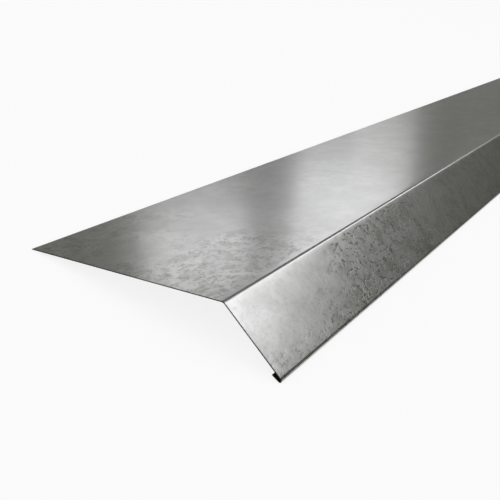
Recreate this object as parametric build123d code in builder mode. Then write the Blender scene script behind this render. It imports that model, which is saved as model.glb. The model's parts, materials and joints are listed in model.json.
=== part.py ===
from build123d import *
import os
from math import asin, atan2, cos, degrees, radians, sin, tan

# Eaves drip flashing: one strip of galvanised steel sheet, folded once along the eaves line
# and hemmed along its drip edge. Lengths are in millimetres and angles in degrees.

# Stock
stock_length = 2000.0  # one piece, as sold
sheet_gauge = 0.5

# Section, measured over the outside of the folded sheet
flange_width = 150.0  # roof flange, from its free edge to the outer corner of the bend
leg_width = 50.0  # drip leg, from the outer corner of the bend to the drip nose
bend_angle = 135.0  # inside angle between the flange and the leg
bend_inner_radius = 2.0

# Open hem: the foot of the leg is creased inwards, and a lip is folded back from the nose
nose_width = 2.3  # narrow strip from the crease to the drip nose
nose_turn = 15.0  # the crease turns this strip in behind the leg
lip_width = 6.0  # from the drip nose to the free edge of the lip
lip_opening = 10.0  # the lip stands open from the leg by this much
hem_inner_radius = 0.6  # of the crease and of the drip nose

# Folds: how far each one turns the sheet, and its radius over the outer skin
bend_turn = 180.0 - bend_angle
lip_turn = 180.0 - nose_turn - lip_opening
bend_outer_radius = bend_inner_radius + sheet_gauge
hem_outer_radius = hem_inner_radius + sheet_gauge
bend_setback = bend_outer_radius * tan(radians(bend_turn / 2))
crease_setback = hem_outer_radius * tan(radians(nose_turn / 2))

# The section is drawn from the bend's outer corner, its x towards the flange's free edge
# and its y out of the flange's top face. The leg runs away from that corner to the crease,
# and the lip turns about a centre behind the nose strip.
leg_direction = Vector(-1, 0).rotate(Axis.Z, bend_turn)
nose_direction = leg_direction.rotate(Axis.Z, nose_turn)
behind_nose = nose_direction.rotate(Axis.Z, 90)
crease_to_centre = nose_direction * (nose_width - hem_outer_radius) + behind_nose * hem_outer_radius
crease_reach = leg_width - hem_outer_radius - crease_to_centre.dot(leg_direction)
nose_centre = leg_direction * crease_reach + crease_to_centre
flange_foot = Vector(flange_width, -sheet_gauge)

# Flat stretches of the outer skin, between the points where the folds begin and end
flange_flat = flange_width - bend_setback
leg_flat = crease_reach - bend_setback - crease_setback
nose_flat = nose_width - crease_setback - hem_outer_radius
lip_flat = lip_width - hem_outer_radius

# Unheld, the flashing lies like a low tent: on the lower corner of the flange's free edge
# and on the round drip nose. The floor is the tangent from that corner to the nose.
foot_span = flange_foot - nose_centre
lie_angle = atan2(foot_span.Y, foot_span.X) + asin(hem_outer_radius / foot_span.length)
across_flange = Vector(0, cos(lie_angle), -sin(lie_angle))
out_of_flange = Vector(0, sin(lie_angle), cos(lie_angle))

# Where the bend's outer corner then stands, with the part centred over the origin
corner_height = -(across_flange * flange_foot.X + out_of_flange * flange_foot.Y).Z
back_reach = flange_width * across_flange.Y
front_reach = (across_flange * nose_centre.X + out_of_flange * nose_centre.Y).Y - hem_outer_radius
corner_setoff = -(back_reach + front_reach) / 2

section_plane = Plane(
    origin=(0, corner_setoff, corner_height),
    x_dir=across_flange,
    z_dir=(1, 0, 0),
)

# The outer skin is followed from the flange's free edge, round the bend and down the leg,
# in at the crease, round the nose and back up the lip. The sheet lies to its left all the way.
with BuildPart() as flashing:
    with BuildSketch(section_plane):
        with BuildLine():
            flange = Line((flange_width, 0), (flange_width - flange_flat, 0))
            bend = JernArc(flange @ 1, flange % 1, bend_outer_radius, bend_turn)
            leg = PolarLine(bend @ 1, leg_flat, direction=bend % 1)
            crease = JernArc(leg @ 1, leg % 1, hem_outer_radius, nose_turn)
            nose_strip = PolarLine(crease @ 1, nose_flat, direction=crease % 1)
            nose = JernArc(nose_strip @ 1, nose_strip % 1, hem_outer_radius, lip_turn)
            lip = PolarLine(nose @ 1, lip_flat, direction=nose % 1)
            offset(amount=sheet_gauge, side=Side.LEFT)
        make_face()
    extrude(amount=stock_length / 2, both=True)
flashing.part.label = "drip_flashing"

os.makedirs("parts", exist_ok=True)
export_step(flashing.part, "parts/drip_flashing.step")

flats = flange_flat + leg_flat + nose_flat + lip_flat
folds = ((bend_turn, bend_outer_radius), (nose_turn, hem_outer_radius), (lip_turn, hem_outer_radius))
strip_width = flats + sum(radians(turn) * (radius - sheet_gauge / 2) for turn, radius in folds)
box = flashing.part.bounding_box()
print(f"box {box.size.X:.2f} x {box.size.Y:.2f} x {box.size.Z:.2f} mm, low corner {box.min}")
print(f"volume {flashing.part.volume:.1f} mm3, strip {strip_width:.2f} mm wide before folding")
print(f"expected volume {strip_width * sheet_gauge * stock_length:.1f} mm3")
print(f"flange slopes {degrees(lie_angle):.3f} degrees to the floor")
print(f"bend corner at y {corner_setoff:.3f}, z {corner_height:.3f}")
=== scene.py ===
import json
import math

import bpy
from mathutils import Matrix, Vector


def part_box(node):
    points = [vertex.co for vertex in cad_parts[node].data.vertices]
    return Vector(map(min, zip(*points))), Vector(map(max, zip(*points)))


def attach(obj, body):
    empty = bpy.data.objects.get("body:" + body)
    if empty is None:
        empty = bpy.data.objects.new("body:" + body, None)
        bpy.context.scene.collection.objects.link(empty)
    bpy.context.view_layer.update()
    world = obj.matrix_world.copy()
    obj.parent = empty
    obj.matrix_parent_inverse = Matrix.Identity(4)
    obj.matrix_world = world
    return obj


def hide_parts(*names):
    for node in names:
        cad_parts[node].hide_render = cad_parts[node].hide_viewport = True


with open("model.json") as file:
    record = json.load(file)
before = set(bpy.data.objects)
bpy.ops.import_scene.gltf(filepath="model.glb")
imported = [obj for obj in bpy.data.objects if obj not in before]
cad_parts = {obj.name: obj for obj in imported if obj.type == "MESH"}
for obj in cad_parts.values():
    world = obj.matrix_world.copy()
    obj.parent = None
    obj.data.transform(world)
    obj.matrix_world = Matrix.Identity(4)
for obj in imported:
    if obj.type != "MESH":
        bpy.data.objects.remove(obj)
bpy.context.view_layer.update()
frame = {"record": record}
scene = bpy.context.scene


def addNode(tree, kind, inputs=None, **settings):
    node = tree.nodes.new(kind)
    for key, value in settings.items():
        setattr(node, key, value)
    for key, value in (inputs or {}).items():
        if isinstance(value, bpy.types.NodeSocket):
            tree.links.new(value, node.inputs[key])
        else:
            node.inputs[key].default_value = value
    return node


def maths(tree, operation, a, b=0.0):
    return addNode(tree, "ShaderNodeMath", {0: a, 1: b}, operation=operation).outputs[0]


def spread(tree, value, low, high, least=0.0, most=1.0):
    # takes low to high onto least to most, eased at both ends
    return addNode(tree, "ShaderNodeMapRange", {0: value, 1: low, 2: high, 3: least, 4: most},
                   interpolation_type="SMOOTHSTEP").outputs[0]


# The folded sheet, in metres and radians. Widths and radii are over its outer skin.
flashing = {
    "gauge": 0.0005,
    "flangeWidth": 0.150,
    "legWidth": 0.050,
    "bendTurn": math.radians(45),
    "bendRadius": 0.0035,  # wider than the solid's, as the bright line along the bend shows
    "noseWidth": 0.0023,
    "noseTurn": math.radians(15),
    "lipWidth": 0.006,
    "lipTurn": math.radians(155),
    "hemRadius": 0.0011,
    "bendSteps": 12,
    "creaseSteps": 6,
    "noseSteps": 20,
    "lengthSteps": 320,
    "flatStep": 0.005,  # longest face across the strip
    "weldDistance": 0.000002,
    "rippleHeight": 0.00003,
    "rippleLength": 0.12,
    "seed": 4.0,
}
pocketPaintedShadeDepth = 0.0055  # from the drip nose, the hem's inside is painted near black as far as this, a painted shade in the fold's hollow
sharpAngle = math.radians(40)
sheetName = "flashing_sheet"
sheetNode = "drip_flashing"

# How it lies: the slope is that of the flange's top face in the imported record. The bend corner
# is one flange width back along that face from its free edge.
boxLow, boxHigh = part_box(sheetNode)
topFace = next(mount for mount in frame["record"]["mounts"] if mount["name"] == "underlay_face")
topPoint = Vector(topFace["pos_m"])
along = Vector((1, 0, 0))
flangeOut = Vector(topFace["axis"]).normalized()
across = flangeOut.cross(along)  # down the flange to its free edge
cornerY = boxHigh.y - flashing["flangeWidth"] * across.y
cornerZ = topPoint.z + (cornerY - topPoint.y) * across.z / across.y
nearCorner = Vector((boxLow.x, cornerY, cornerZ))  # the bend, at the end that faces the camera
flashing["stockLength"] = boxHigh.x - boxLow.x
flashing["lieAngle"] = math.atan2(flangeOut.y, flangeOut.z)
flashing["bendCorner"] = Vector((0, cornerY, cornerZ))
flashing["pocketLine"] = boxLow.y + pocketPaintedShadeDepth
print(f"flange lies at {math.degrees(flashing['lieAngle']):.2f} degrees")


def makeSheetTree(sizes):
    tree = bpy.data.node_groups.new("foldedSheet", "GeometryNodeTree")
    kinds = {float: "NodeSocketFloat", int: "NodeSocketInt", Vector: "NodeSocketVector",
             bpy.types.Material: "NodeSocketMaterial"}
    for name, value in sizes.items():
        tree.interface.new_socket(name, in_out="INPUT", socket_type=kinds[type(value)])
    tree.interface.new_socket("sheet", in_out="OUTPUT", socket_type="NodeSocketGeometry")
    given = tree.nodes.new("NodeGroupInput").outputs
    index = tree.nodes.new("GeometryNodeInputIndex").outputs[0]

    def plus(a, b):
        return maths(tree, "ADD", a, b)

    def minus(a, b):
        return maths(tree, "SUBTRACT", a, b)

    def times(a, b):
        return maths(tree, "MULTIPLY", a, b)

    def at(x):
        return addNode(tree, "ShaderNodeCombineXYZ", {"X": x}).outputs[0]

    def stepped(start, run, turn):
        # on from start by a run that has turned this far from the flange's line
        step = addNode(tree, "ShaderNodeVectorRotate", {"Vector": at(times(run, -1.0)), "Angle": turn},
                       rotation_type="Z_AXIS").outputs[0]
        if start is None:
            return step
        return addNode(tree, "ShaderNodeVectorMath", {0: start, 1: step}, operation="ADD").outputs[0]

    def byCorner(kind, values):
        switch = addNode(tree, "GeometryNodeIndexSwitch", {"Index": index}, data_type=kind)
        while len(switch.index_switch_items) < len(values):
            switch.index_switch_items.new()
        for number, value in enumerate(values):
            if value is not None:
                tree.links.new(value, switch.inputs[str(number)])
        return switch.outputs[0]

    def drawSection():
        # five corners, from the flange's free edge to the lip's, then rounded where the sheet folds
        radius = given["hemRadius"]
        straight = minus(given["noseWidth"], radius)  # crease corner to where the nose begins to turn
        reach = minus(times(straight, maths(tree, "COSINE", given["noseTurn"])),
                      times(radius, maths(tree, "SINE", given["noseTurn"])))
        creaseRun = minus(minus(given["legWidth"], radius), reach)
        setback = times(maths(tree, "TANGENT", times(given["lipTurn"], 0.5)), radius)
        noseRun = plus(straight, setback)
        lipRun = plus(minus(given["lipWidth"], radius), setback)
        noseTurn = plus(given["bendTurn"], given["noseTurn"])
        crease = stepped(None, creaseRun, given["bendTurn"])
        nose = stepped(crease, noseRun, noseTurn)
        lipEnd = stepped(nose, lipRun, plus(noseTurn, given["lipTurn"]))
        corners = [at(given["flangeWidth"]), None, crease, nose, lipEnd]
        line = addNode(tree, "GeometryNodeMeshLine", {"Count": len(corners)}).outputs[0]
        line = addNode(tree, "GeometryNodeSetPosition",
                       {"Geometry": line, "Position": byCorner("VECTOR", corners)}).outputs[0]
        line = addNode(tree, "GeometryNodeMeshToCurve", {"Mesh": line}).outputs[0]
        steps = [None, given["bendSteps"], given["creaseSteps"], given["noseSteps"], None]
        folds = {
            "Curve": line,
            "Radius": byCorner("FLOAT", [None, given["bendRadius"], radius, radius, None]),
            "Count": byCorner("INT", steps),
            "Limit Radius": False,
        }
        return addNode(tree, "GeometryNodeFilletCurve", folds, mode="POLY").outputs[0]

    def cutFlats(section):
        # the flats become short faces
        here = tree.nodes.new("GeometryNodeSplineParameter").outputs["Length"]
        following = addNode(tree, "GeometryNodeFieldAtIndex", {"Index": plus(index, 1.0), "Value": here},
                            domain="POINT", data_type="FLOAT").outputs[0]
        span = maths(tree, "DIVIDE", minus(following, here), given["flatStep"])
        cuts = maths(tree, "FLOOR", maths(tree, "MAXIMUM", span, 0.0))
        return addNode(tree, "GeometryNodeSubdivideCurve", {"Curve": section, "Cuts": cuts}).outputs[0]

    def sweepSkin(section):
        # along the stock, then laid on the floor: the sweep comes out upside down
        half = times(given["stockLength"], 0.5)
        rail = addNode(tree, "GeometryNodeCurvePrimitiveLine",
                       {"Start": at(times(half, -1.0)), "End": at(half)}, mode="POINTS").outputs[0]
        rail = addNode(tree, "GeometryNodeResampleCurve",
                       {"Curve": rail, "Count": given["lengthSteps"]}).outputs[0]
        skin = addNode(tree, "GeometryNodeCurveToMesh",
                       {"Curve": rail, "Profile Curve": section}).outputs[0]
        turn = at(minus(math.pi, given["lieAngle"]))
        turn = addNode(tree, "FunctionNodeEulerToRotation", {0: turn}).outputs[0]
        laid = {"Geometry": skin, "Rotation": turn, "Translation": given["bendCorner"]}
        return addNode(tree, "GeometryNodeTransform", laid).outputs[0]

    def rippleSkin(skin):
        # sheet is never quite flat
        finer = maths(tree, "DIVIDE", 1.0, given["rippleLength"])
        ripple = addNode(tree, "ShaderNodeTexNoise", {"W": given["seed"], "Scale": finer, "Detail": 1.0},
                         noise_dimensions="4D").outputs[0]
        normal = tree.nodes.new("GeometryNodeInputNormal").outputs[0]
        height = times(minus(ripple, 0.5), given["rippleHeight"])
        rise = addNode(tree, "ShaderNodeVectorMath", {0: normal, "Scale": height},
                       operation="SCALE").outputs[0]
        return addNode(tree, "GeometryNodeSetPosition", {"Geometry": skin, "Offset": rise}).outputs[0]

    def giveGauge(skin):
        # the sheet's thickness is taken inwards from its outer skin
        inner = addNode(tree, "GeometryNodeExtrudeMesh",
                        {"Mesh": skin, "Offset Scale": times(given["gauge"], -1.0), "Individual": False})
        cutFaces = inner.outputs["Side"]
        place = tree.nodes.new("GeometryNodeInputPosition").outputs[0]
        overFloor = addNode(tree, "ShaderNodeSeparateXYZ", {0: place}).outputs["Y"]
        # the hem's inner faces by the nose take the near-black painted shade
        inHem = addNode(tree, "FunctionNodeCompare", {0: overFloor, 1: given["pocketLine"]},
                        operation="LESS_THAN").outputs[0]
        inHem = addNode(tree, "FunctionNodeBooleanMath", {0: inHem, 1: inner.outputs["Top"]}).outputs[0]
        inner = addNode(tree, "GeometryNodeFlipFaces", {"Mesh": inner.outputs["Mesh"]}).outputs[0]
        both = tree.nodes.new("GeometryNodeJoinGeometry")
        tree.links.new(skin, both.inputs[0])
        tree.links.new(inner, both.inputs[0])
        whole = addNode(tree, "GeometryNodeMergeByDistance",
                        {"Geometry": both.outputs[0], "Distance": given["weldDistance"]}).outputs[0]
        return whole, inHem, cutFaces

    whole, inHem, cutFaces = giveGauge(rippleSkin(sweepSkin(cutFlats(drawSection()))))
    whole = addNode(tree, "GeometryNodeRealizeInstances", {"Geometry": whole}).outputs[0]
    # the hem's inside gets a near-black painted shade; the cut faces get dark steel, painted down towards
    # black as shade
    for finish, faces in (("skin", True), ("pocket", inHem), ("cutEdgePaintedShade", cutFaces)):
        painted = {"Geometry": whole, "Selection": faces, "Material": given[finish]}
        whole = addNode(tree, "GeometryNodeSetMaterial", painted).outputs[0]
    addNode(tree, "NodeGroupOutput", {"sheet": whole})
    return tree


def makeSheet(skin, cutEdgePaintedShade, pocket):
    sizes = dict(flashing, skin=skin, cutEdgePaintedShade=cutEdgePaintedShade, pocket=pocket)
    tree = makeSheetTree(sizes)
    sheet = bpy.data.objects.new(sheetName, bpy.data.meshes.new(sheetName))
    scene.collection.objects.link(sheet)
    folding = sheet.modifiers.new("folding", "NODES")
    folding.node_group = tree
    sockets = {s.name: s.identifier for s in tree.interface.items_tree if s.in_out == "INPUT"}
    for name, value in sizes.items():
        folding[sockets[name]] = value
    folded = sheet.evaluated_get(bpy.context.evaluated_depsgraph_get())
    mesh = bpy.data.meshes.new_from_object(folded)
    sheet.modifiers.clear()
    sheet.data = mesh
    mesh.materials.pop(index=0)  # the nodes leave an empty slot first
    mesh.shade_smooth()
    mesh.set_sharp_from_angle(angle=sharpAngle)
    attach(sheet, "root")
    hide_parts(sheetNode)
    print("sheet folded:", len(mesh.polygons), "faces", [m.name for m in mesh.materials])


def cloudNoise(tree, point, size, detail, rough=0.5):
    finer = maths(tree, "DIVIDE", 1.0, size)
    noise = {"Vector": point, "Scale": finer, "Detail": detail, "Roughness": rough}
    return addNode(tree, "ShaderNodeTexNoise", noise).outputs[0]


def startGroup(name, inputs, outputs):
    group = bpy.data.node_groups.new(name, "ShaderNodeTree")
    for socket in inputs:
        group.interface.new_socket(socket, in_out="INPUT", socket_type="NodeSocketFloat")
    for socket in outputs:
        group.interface.new_socket(socket, in_out="OUTPUT", socket_type="NodeSocketFloat")
    point = group.nodes.new("ShaderNodeTexCoord").outputs["Object"]
    return group, group.nodes.new("NodeGroupInput").outputs, point


# Zinc skin: cloudy spangle, and ragged lines of dross. On the flange they lie in patches, most by
# the cut ends. On the drip leg they are darker, but handling has rubbed its ends clean on a slant,
# and the bend too. A thin rim by the cut ends, and the drip nose on the leg, are painted dark:
# a painted shade along the cut ends, and a painted dark reflection in the nose.
# A range runs from a start to an end, and then gives the amounts at the two, if not 0 and 1.
bathTextureAndPaintedShade = {
    # the next two place the painted shade by the cut ends and on the drip nose
    "paintedShadeRim": (0.7, 1.0, 1.0, 0.0),  # out of the rim's width
    "nose": (0.75, 1.0, 1.0, 0.0),  # out of the nose's height
    "slant": 1.2,
    "flangeEnd": (0.5, 1.7, 0.78, 0.3),  # in rubbed lengths from the cut end, like the next two
    "legEnd": (0.9, 1.3, 0.38, 1.0),
    "legFar": (2.2, 3.6, 1.0, 0.55),
    "flangePatch": (0.2, -0.2, 0.5, 1.1),
    "foot": (0.016, 0.005, 0.0, 0.62),  # the leg's foot, by its height over the floor
    "footSway": 0.006,
    "bend": (0.2, 1.0, 0.15, 1.0),  # out of the rubbed bend's width
    "bendNarrowing": (1.0, 2.2),  # on the flange and on the leg
    "spangle": (0.42, 0.64),
    "drawn": (0.75, 1, 1),  # rolling draws the dross out along the stock
    "drossLine": (0.06, 0.015),
    "drossBreak": (0.47, 0.58),
    "breakSize": 0.8,  # out of the dross's own
    "drossAmount": (0.65, 1.0),  # on the flange and on the leg
}


def makeBathSkin():
    inputs = ["patchSize", "spangleSize", "spangleHeight", "drossSize", "drossDepth", "bendLine",
              "endLine", "rubbedEnd", "rubbedBend", "paintedRimWidth", "paintedNoseHeight"]
    group, given, point = startGroup("bathSkinAndPaintedShade", inputs, ["relief", "spangle", "dross", "paintedShadeRim"])

    def plus(a, b):
        return maths(group, "ADD", a, b)

    def minus(a, b):
        return maths(group, "SUBTRACT", a, b)

    def times(a, b):
        return maths(group, "MULTIPLY", a, b)

    def over(a, b):
        return maths(group, "DIVIDE", a, b)

    def larger(a, b):
        return maths(group, "MAXIMUM", a, b)

    def unsigned(a):
        return maths(group, "ABSOLUTE", a)

    def eased(value, name):
        return spread(group, value, *bathTextureAndPaintedShade[name])

    ways = addNode(group, "ShaderNodeSeparateXYZ", {0: point}).outputs
    fromEnd = minus(given["endLine"], unsigned(ways["X"]))
    fromBend = minus(given["bendLine"], ways["Y"])  # below zero on the flange
    leg = maths(group, "GREATER_THAN", fromBend, 0.0)

    def bySide(onFlange, onLeg):
        return spread(group, leg, 0.0, 1.0, onFlange, onLeg)

    # painted shade: a dark rim by the cut ends, and on the leg the drip nose, painted dark for a dark
    # reflection
    nose = eased(over(ways["Z"], given["paintedNoseHeight"]), "nose")
    paintedShadeRim = larger(eased(over(fromEnd, given["paintedRimWidth"]), "paintedShadeRim"), times(nose, leg))

    # how much of the texture is left, with bounds that stray
    patch = cloudNoise(group, point, given["patchSize"], detail=3.0)
    stray = times(minus(patch, 0.5), 2.0)  # to either side of zero
    slant = times(larger(fromBend, 0.0), bathTextureAndPaintedShade["slant"])
    inwards = plus(over(plus(fromEnd, slant), given["rubbedEnd"]), stray)
    onFlange = times(eased(inwards, "flangeEnd"), eased(stray, "flangePatch"))
    onLeg = times(eased(inwards, "legEnd"), eased(inwards, "legFar"))
    onLeg = larger(onLeg, eased(plus(ways["Z"], times(stray, bathTextureAndPaintedShade["footSway"])), "foot"))
    offBend = over(unsigned(fromBend), given["rubbedBend"])
    offBend = times(offBend, bySide(*bathTextureAndPaintedShade["bendNarrowing"]))
    amount = times(bySide(onFlange, onLeg), eased(offBend, "bend"))

    # the texture itself
    cloud = cloudNoise(group, point, given["spangleSize"], detail=5.0, rough=0.62)
    spangle = times(eased(cloud, "spangle"), amount)
    drawn = addNode(group, "ShaderNodeVectorMath", {0: point, 1: bathTextureAndPaintedShade["drawn"]},
                    operation="MULTIPLY").outputs[0]
    lines = cloudNoise(group, drawn, given["drossSize"], detail=4.0, rough=0.65)
    lines = eased(unsigned(minus(lines, 0.5)), "drossLine")
    breaks = cloudNoise(group, drawn, times(given["drossSize"], bathTextureAndPaintedShade["breakSize"]), detail=1.0)
    lines = times(lines, eased(breaks, "drossBreak"))
    dross = times(times(lines, times(amount, amount)), bySide(*bathTextureAndPaintedShade["drossAmount"]))
    rise = times(times(cloud, given["spangleHeight"]), amount)
    relief = minus(rise, times(dross, given["drossDepth"]))
    addNode(group, "NodeGroupOutput", {"relief": relief, "spangle": spangle, "dross": dross, "paintedShadeRim": paintedShadeRim})
    return group


# Marks of storing and carrying: faint smudges, and a few straight scuffs
handling = {
    "smudge": (0.3, 0.7),
    "scuff": (1.0, 0.0),  # out of a scuff's width
    "scuffBreak": (0.56, 0.66),
}


def makeHandlingMarks():
    group, given, point = startGroup("handlingMarks", ["smudgeSize", "scuffSpacing", "scuffWidth"],
                                     ["smudge", "scuffs"])
    smudge = cloudNoise(group, point, given["smudgeSize"], detail=4.0, rough=0.6)
    finer = maths(group, "DIVIDE", 1.0, given["scuffSpacing"])
    edges = addNode(group, "ShaderNodeTexVoronoi", {"Vector": point, "Scale": finer},
                    feature="DISTANCE_TO_EDGE").outputs["Distance"]
    breadth = maths(group, "DIVIDE", given["scuffWidth"], given["scuffSpacing"])
    scuff = spread(group, maths(group, "DIVIDE", edges, breadth), *handling["scuff"])
    breaks = cloudNoise(group, point, given["scuffSpacing"], detail=1.0)
    scuffs = maths(group, "MULTIPLY", scuff, spread(group, breaks, *handling["scuffBreak"]))
    addNode(group, "NodeGroupOutput",
            {"smudge": spread(group, smudge, *handling["smudge"]), "scuffs": scuffs})
    return group


bathSkinAndPaintedShade = makeBathSkin()
handlingMarks = makeHandlingMarks()

filmRoughness = 0.15
scuffDepth = 0.000004
wearAndPaintedShade = {
    "bendLine": cornerY,
    "endLine": boxHigh.x,
    "rubbedEnd": 0.09,
    "rubbedBend": 0.006,
    # widths of the painted shade by the cut ends and on the drip nose
    "paintedRimWidth": 0.0005,
    "paintedNoseHeight": 0.0016,
}
skinFinish = {
    "brightColour": (0.68, 0.68, 0.68, 1),
    "dullColour": (0.6, 0.6, 0.594, 1),
    "spangleColour": (0.455, 0.457, 0.42, 1),
    "drossColour": (0.17, 0.17, 0.15, 1),
    # a dark colour painted by the cut ends and on the drip nose as shade
    "paintedShadeColour": (0.10, 0.10, 0.097, 1),
    "roughness": (0.275, 0.295),
    "film": 0.5,
    "bath": {"patchSize": 0.06, "spangleSize": 0.010, "spangleHeight": 0.00012,
             "drossSize": 0.0036, "drossDepth": 0.00006},
    "marks": {"smudgeSize": 0.03, "scuffSpacing": 0.05, "scuffWidth": 0.0002},
}
# Cut faces: bare steel, darker than zinc, then painted down to near black as a painted shade along the
# edges
edgeSteelAndPaintedShade = {
    "brightColour": (0.032, 0.032, 0.031, 1),
    "dullColour": (0.022, 0.022, 0.021, 1),
    "spangleColour": (0.026, 0.026, 0.025, 1),
    "drossColour": (0.014, 0.014, 0.013, 1),
    "paintedShadeColour": (0.02, 0.02, 0.019, 1),
    "roughness": (0.38, 0.5),
    "film": 0.0,
    "bath": {"patchSize": 0.02, "spangleSize": 0.002, "spangleHeight": 0.00002,
             "drossSize": 0.001, "drossDepth": 0.00001},
    "marks": {"smudgeSize": 0.004, "scuffSpacing": 0.01, "scuffWidth": 0.0001},
}
# Inside the hem: near black, a painted shade standing in for the shade in the fold's hollow
pocketPaintedShadeFinish = {
    "brightColour": (0.03, 0.03, 0.029, 1),
    "dullColour": (0.02, 0.02, 0.019, 1),
    "spangleColour": (0.024, 0.024, 0.023, 1),
    "drossColour": (0.012, 0.012, 0.011, 1),
    "paintedShadeColour": (0.02, 0.02, 0.019, 1),
    "roughness": (0.5, 0.65),
    "film": 0.0,
    "bath": {"patchSize": 0.02, "spangleSize": 0.003, "spangleHeight": 0.00003,
             "drossSize": 0.002, "drossDepth": 0.00001},
    "marks": {"smudgeSize": 0.006, "scuffSpacing": 0.02, "scuffWidth": 0.0001},
}


def makeZinc(name, finish):
    material = bpy.data.materials.new(name)
    material.use_nodes = True
    tree = material.node_tree
    shader = tree.nodes["Principled BSDF"]
    shader.inputs["Metallic"].default_value = 1.0
    shader.inputs["Coat Weight"].default_value = finish["film"]
    shader.inputs["Coat Roughness"].default_value = filmRoughness
    bath = addNode(tree, "ShaderNodeGroup", node_tree=bathSkinAndPaintedShade)
    marks = addNode(tree, "ShaderNodeGroup", node_tree=handlingMarks)
    for node, sizes in ((bath, {**finish["bath"], **wearAndPaintedShade}), (marks, finish["marks"])):
        for socket, size in sizes.items():
            node.inputs[socket].default_value = size
    smudge = marks.outputs["smudge"]
    colour = finish["brightColour"]
    # the last layer paints shade by the cut ends and a dark reflection on the drip nose
    layers = ((smudge, "dullColour"), (bath.outputs["spangle"], "spangleColour"),
              (bath.outputs["dross"], "drossColour"), (bath.outputs["paintedShadeRim"], "paintedShadeColour"))
    for mask, key in layers:
        colour = addNode(tree, "ShaderNodeMix", {"Factor": mask, 6: colour, 7: finish[key]},
                         data_type="RGBA").outputs[2]
    tree.links.new(colour, shader.inputs["Base Color"])
    tree.links.new(spread(tree, smudge, 0.0, 1.0, *finish["roughness"]), shader.inputs["Roughness"])
    scuffs = maths(tree, "MULTIPLY", marks.outputs["scuffs"], scuffDepth)
    relief = maths(tree, "SUBTRACT", bath.outputs["relief"], scuffs)
    bump = addNode(tree, "ShaderNodeBump", {"Strength": 1.0, "Distance": 1.0, "Height": relief})
    tree.links.new(bump.outputs[0], shader.inputs["Normal"])
    return material


zincSkin = makeZinc("zincSkin", skinFinish)
shearedEdgePaintedShade = makeZinc("shearedEdgePaintedShade", edgeSteelAndPaintedShade)
hemPocketPaintedShade = makeZinc("hemPocketPaintedShade", pocketPaintedShadeFinish)
print("finishes mixed")
makeSheet(zincSkin, shearedEdgePaintedShade, hemPocketPaintedShade)


def overFlange(lengthwise, crosswise, outwards):
    # a point, measured from the near corner along the stock, across the flange and out of it
    return nearCorner + along * lengthwise + across * crosswise + flangeOut * outwards


def flangeWay(yaw, pitch):
    # a direction: turned from along the stock towards the free edge, then raised off the flange
    level = along * math.cos(yaw) + across * math.sin(yaw)
    return level * math.cos(pitch) + flangeOut * math.sin(pitch)


# The camera stands off the near end, looking along the stock and down on the flange
viewpoint = {
    "lens": 47.68,  # in millimetres, like the sensor
    "sensor": 36.0,
    "nearest": 0.01,
    "place": (-0.24558, -0.18639, 0.14269),  # as overFlange measures it
    "yaw": math.radians(34.565),
    "pitch": math.radians(20.437),
    "roll": math.radians(1.168),
}


def makeCamera():
    camera = bpy.data.objects.new("camera", bpy.data.cameras.new("camera"))
    scene.collection.objects.link(camera)
    camera.data.lens = viewpoint["lens"]
    camera.data.sensor_width = viewpoint["sensor"]
    camera.data.clip_start = viewpoint["nearest"]
    forward = flangeWay(viewpoint["yaw"], -viewpoint["pitch"])
    right = flangeWay(viewpoint["yaw"] - math.pi / 2, 0)
    up = right.cross(forward)
    turn = Matrix((right, up, -forward)).transposed() @ Matrix.Rotation(-viewpoint["roll"], 3, "Z")
    camera.matrix_world = Matrix.Translation(overFlange(*viewpoint["place"])) @ turn.to_4x4()
    scene.camera = camera
    print("camera set")


makeCamera()

# Studio: a white floor under a white sky, with dark screens and soft boxes for the metal to mirror.
# The screens stand round the near end. Spans and rises are in degrees, and those of the soft boxes
# are as the camera's mirror image in the flange or in the leg sees them.
studio = {
    "floorColour": (0.97, 0.97, 0.97, 1),
    "floorWhite": 0.8,
    "floorSize": 60.0,
    "skyColour": (1.0, 1.0, 1.0, 1),
    "lampColour": (0.98, 0.985, 1.0),
    "lampReach": 9.0,
    "screenReach": 12.0,
    "screenSteps": 16,
}
lowHeights = (0, 4.8)
highHeights = (4.8, 14)
fullHeights = (0, 14)
screens = {
    "backScreen": {"span": (5, 26), "heights": lowHeights, "colour": (0.136, 0.138, 0.114, 1)},
    "gapScreen": {"span": (26, 44), "heights": lowHeights, "colour": (0.095, 0.095, 0.09, 1)},
    "leftScreen": {"span": (44, 75), "heights": lowHeights, "colour": (0.165, 0.168, 0.14, 1)},
    "topScreen": {"span": (5, 75), "heights": highHeights, "colour": (0.05, 0.05, 0.046, 1)},
    "sideScreen": {"span": (-75, 5), "heights": fullHeights, "colour": (0.074, 0.076, 0.056, 1)},
}
softboxes = {
    "leftStrip": {"eye": "flange", "span": (34.7, 44.2), "rise": (18.4, 24.2), "glow": 2.1, "lean": 8},
    "rightStrip": {"eye": "flange", "span": (20.9, 30.8), "rise": (14.1, 23.8), "glow": 1.54, "lean": -7},
    "middleStrip": {"eye": "flange", "span": (27.7, 34.3), "rise": (22, 27.5), "glow": 0.9, "lean": 0},
    "lowStrip": {"eye": "flange", "span": (20.3, 25.5), "rise": (9.8, 14), "glow": 0.5, "lean": 0},
    "farStrip": {"eye": "flange", "span": (9, 17), "rise": (13.5, 19), "glow": 0.36, "lean": 0},
    "endStrip": {"eye": "leg", "span": (-10, -2), "rise": (21.5, 30), "glow": 2.6, "lean": 0},
    "overhead": {"eye": "leg", "span": (-50, -10.5), "rise": (28.7, 41), "glow": 2.0, "lean": 0},
}
eyeAlong, eyeAcross, eyeOut = viewpoint["place"]
mirrorEyes = {
    "flange": overFlange(eyeAlong, eyeAcross, -eyeOut),
    "leg": overFlange(eyeAlong, eyeOut, eyeAcross),
}


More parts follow.
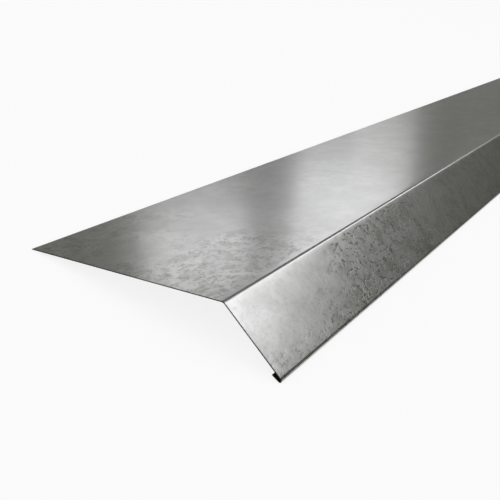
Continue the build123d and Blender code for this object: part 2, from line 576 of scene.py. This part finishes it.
def plainPaint(name, colour):
    paint = bpy.data.materials.new(name)
    paint.use_nodes = True
    shader = paint.node_tree.nodes["Principled BSDF"]
    shader.inputs["Base Color"].default_value = colour
    shader.inputs["Roughness"].default_value = 1.0
    shader.inputs["Specular IOR Level"].default_value = 0.0
    return paint


def makeFloorPaint():
    # partly plain white to the eye and to the metal, so that the shadow stays soft
    paint = plainPaint("paleFloor", studio["floorColour"])
    tree = paint.node_tree
    seen = tree.nodes.new("ShaderNodeLightPath").outputs
    shown = maths(tree, "MAXIMUM", seen["Is Camera Ray"], seen["Is Glossy Ray"])
    shown = maths(tree, "MAXIMUM", shown, seen["Is Transmission Ray"])
    shown = maths(tree, "MULTIPLY", shown, studio["floorWhite"])
    white = addNode(tree, "ShaderNodeEmission", {"Strength": 1.0}).outputs[0]
    plain = tree.nodes["Principled BSDF"].outputs[0]
    mixed = addNode(tree, "ShaderNodeMixShader", {0: shown, 1: plain, 2: white}).outputs[0]
    tree.links.new(mixed, tree.nodes["Material Output"].inputs["Surface"])
    return paint


def makeStage(name, points, faces, paint):
    mesh = bpy.data.meshes.new(name)
    mesh.from_pydata(points, [], faces)
    mesh.materials.append(paint)
    stage = bpy.data.objects.new(name, mesh)
    scene.collection.objects.link(stage)
    return stage


def makeScreen(name, screen):
    points = []
    first, last = (math.radians(angle) for angle in screen["span"])
    reach = studio["screenReach"]
    steps = studio["screenSteps"]
    for step in range(steps + 1):
        yaw = first + (last - first) * step / steps
        foot = (nearCorner.x + reach * math.cos(yaw), reach * math.sin(yaw))
        points += [(*foot, height) for height in screen["heights"]]
    faces = [(2 * k, 2 * k + 2, 2 * k + 3, 2 * k + 1) for k in range(steps)]
    makeStage(name, points, faces, plainPaint(name, screen["colour"])).visible_camera = False


def makeSoftbox(name, box):
    first, last = (math.radians(angle) for angle in box["span"])
    low, high = (math.tan(math.radians(angle)) for angle in box["rise"])
    reach = studio["lampReach"]
    out = flangeWay((first + last) / 2, 0)
    lamp = bpy.data.objects.new(name, bpy.data.lights.new(name, "AREA"))
    scene.collection.objects.link(lamp)
    lamp.data.shape = "RECTANGLE"
    lamp.data.color = studio["lampColour"]
    lamp.data.size = 2 * reach * math.tan((last - first) / 2)
    lamp.data.size_y = reach * (high - low)
    lamp.data.energy = box["glow"] * math.pi * lamp.data.size * lamp.data.size_y
    centre = mirrorEyes[box["eye"]] + out * reach + flangeOut * reach * (low + high) / 2
    turn = Matrix((flangeOut.cross(out), flangeOut, out)).transposed()
    turn = turn @ Matrix.Rotation(math.radians(box["lean"]), 3, "Z")
    lamp.matrix_world = Matrix.Translation(centre) @ turn.to_4x4()


def makeStudio():
    scene.world = bpy.data.worlds.new("sky")
    scene.world.use_nodes = True
    scene.world.node_tree.nodes["Background"].inputs["Color"].default_value = studio["skyColour"]
    half = studio["floorSize"] / 2
    ring = [(-half, -half, 0), (half, -half, 0), (half, half, 0), (-half, half, 0)]
    makeStage("floor", ring, [(0, 1, 2, 3)], makeFloorPaint())
    for name, screen in screens.items():
        makeScreen(name, screen)
    for name, box in softboxes.items():
        makeSoftbox(name, box)
    scene.view_settings.view_transform = "Standard"
    print("studio lit")


makeStudio()
